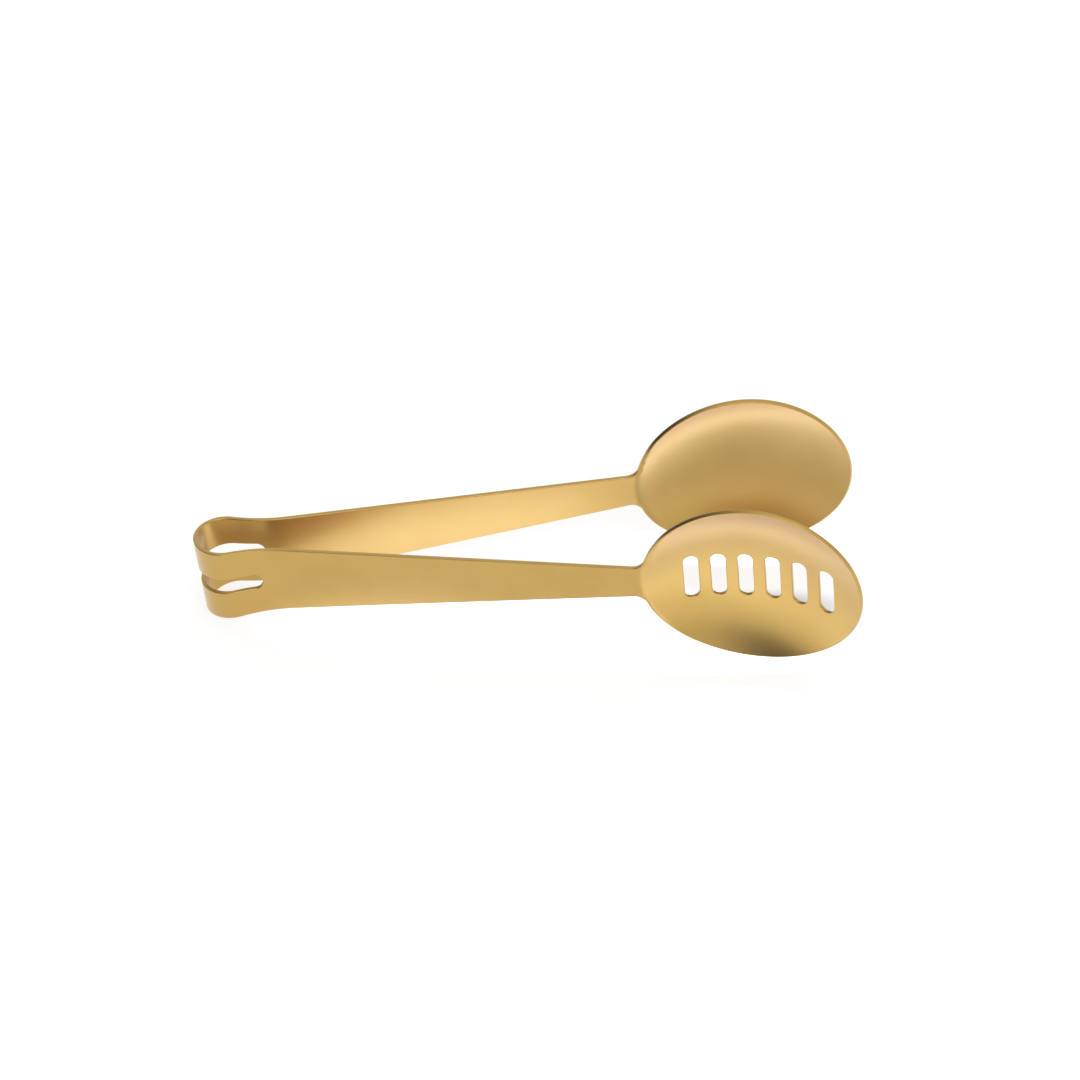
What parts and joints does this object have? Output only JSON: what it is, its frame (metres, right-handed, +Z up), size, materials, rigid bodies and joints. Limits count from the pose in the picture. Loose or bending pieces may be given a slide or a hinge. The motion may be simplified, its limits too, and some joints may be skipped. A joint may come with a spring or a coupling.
{
  "type": "tea bag tongs",
  "caption": "Sprung tongs folded from one strip of gold-coloured sheet steel, with a slotted bow, flat tapering arms and two alike dished bowls that nest when squeezed, the front one pierced to drain.",
  "frame": {"origin": "on the surface that the tongs stand on, under the middle of their length and the middle of their width across both bowls", "axes": "+X from the bow towards the bowls, +Y from the front (slotted) arm to the rear (plain) arm, +Z up"},
  "size_m": [0.1524, 0.0544, 0.0436],
  "materials": {
    "gold_steel": "satin stainless steel with a gold-coloured vapour-deposited coating"
  },
  "bodies": {
    "bow": {"upper_spring_band": "gold_steel", "lower_spring_band": "gold_steel"},
    "front_arm": {"front_arm": "gold_steel", "slotted_bowl": "gold_steel"},
    "rear_arm": {"rear_arm": "gold_steel", "plain_bowl": "gold_steel"}
  },
  "joints": [
    {"name": "front_squeeze", "type": "hinge", "parent": "bow", "child": "front_arm", "pos_m": [-0.06833, 0.00224, 0.01061], "axis": [-0.093, 0, 0.9957], "range_deg": [0, 8.7], "stiffness_Nm_per_rad": 5, "deforming": ["upper_spring_band", "lower_spring_band"]},
    {"name": "rear_squeeze", "type": "hinge", "parent": "bow", "child": "rear_arm", "pos_m": [-0.06833, 0.00224, 0.01061], "axis": [-0.093, 0, 0.9957], "range_deg": [-8.7, 0], "stiffness_Nm_per_rad": 5}
  ],
  "couplings": [
    {"joint": "rear_squeeze", "follows": "front_squeeze", "ratio": -1}
  ]
}
